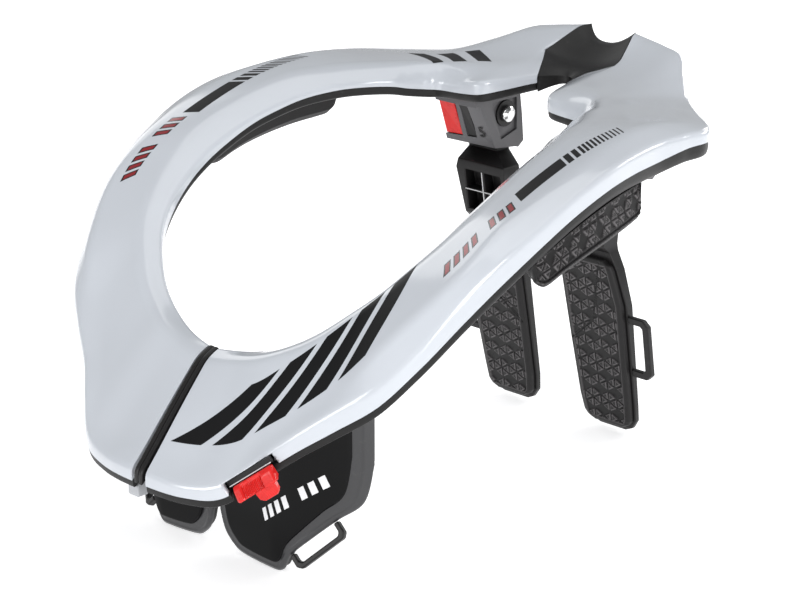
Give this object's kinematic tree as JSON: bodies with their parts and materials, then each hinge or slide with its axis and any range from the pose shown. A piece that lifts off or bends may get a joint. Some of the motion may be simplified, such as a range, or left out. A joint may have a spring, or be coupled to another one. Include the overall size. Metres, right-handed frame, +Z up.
{
  "type": "motocross neck brace",
  "caption": "Ring-shaped neck brace with two glossy shells on a dark chassis, chest plates, shoulder pads and two tilting back struts.",
  "frame": {"origin": "centre of the bounding box's base", "axes": "+X is the wearer's left, -Y the front, +Z up; millimetres in the source, metres here"},
  "size_m": [0.297, 0.369, 0.2301],
  "materials": {
    "shell": "white, high gloss",
    "chassis": "satin black, fine grain",
    "dark": "satin black",
    "panel": "black, high gloss",
    "pad": "matt black foam with a moulded skin",
    "bracket": "satin grey",
    "red": "bright red",
    "steel": "polished",
    "catch": "light grey"
  },
  "bodies": {
    "brace": {"shell_left": "shell", "shell_right": "shell", "chassis_left": "chassis", "chassis_right": "chassis", "saddle": "chassis", "chest_frame_left": "chassis", "chest_frame_right": "chassis", "seam_strip_left": "dark", "seam_strip_right": "dark", "latch_trim": "dark", "chest_loop_left": "dark", "chest_loop_right": "dark", "gauge_black_left": "dark", "gauge_black_right": "dark", "washer_left": "dark", "washer_right": "dark", "chest_panel_left": "panel", "chest_panel_right": "panel", "chest_pad_left": "pad", "chest_pad_right": "pad", "shoulder_pad_left": "pad", "shoulder_pad_right": "pad", "bracket_left": "bracket", "bracket_right": "bracket", "gauge_red_left": "red", "gauge_red_right": "red", "bolt_left": "steel", "bolt_right": "steel", "front_catch": "catch"},
    "strut_left": {"strut_left": "dark", "strut_pad_left": "pad", "strut_loop_left": "dark"},
    "strut_right": {"strut_right": "dark", "strut_pad_right": "pad", "strut_loop_right": "dark"},
    "latch_lever": {"latch_lever": "red"}
  },
  "joints": [
    {"name": "strut_tilt_left", "type": "hinge", "parent": "brace", "child": "strut_left", "pos_m": [0.05075, 0.1307, 0.18218], "axis": [1, 0, 0], "range_deg": [-5, 5]},
    {"name": "strut_tilt_right", "type": "hinge", "parent": "brace", "child": "strut_right", "pos_m": [-0.05075, 0.1307, 0.18218], "axis": [1, 0, 0], "range_deg": [-5, 5]},
    {"name": "latch_lift", "type": "hinge", "parent": "brace", "child": "latch_lever", "pos_m": [0.06578, -0.16575, 0.06793], "axis": [-0.7514, -0.2884, -0.5934], "range_deg": [0, 60]}
  ]
}
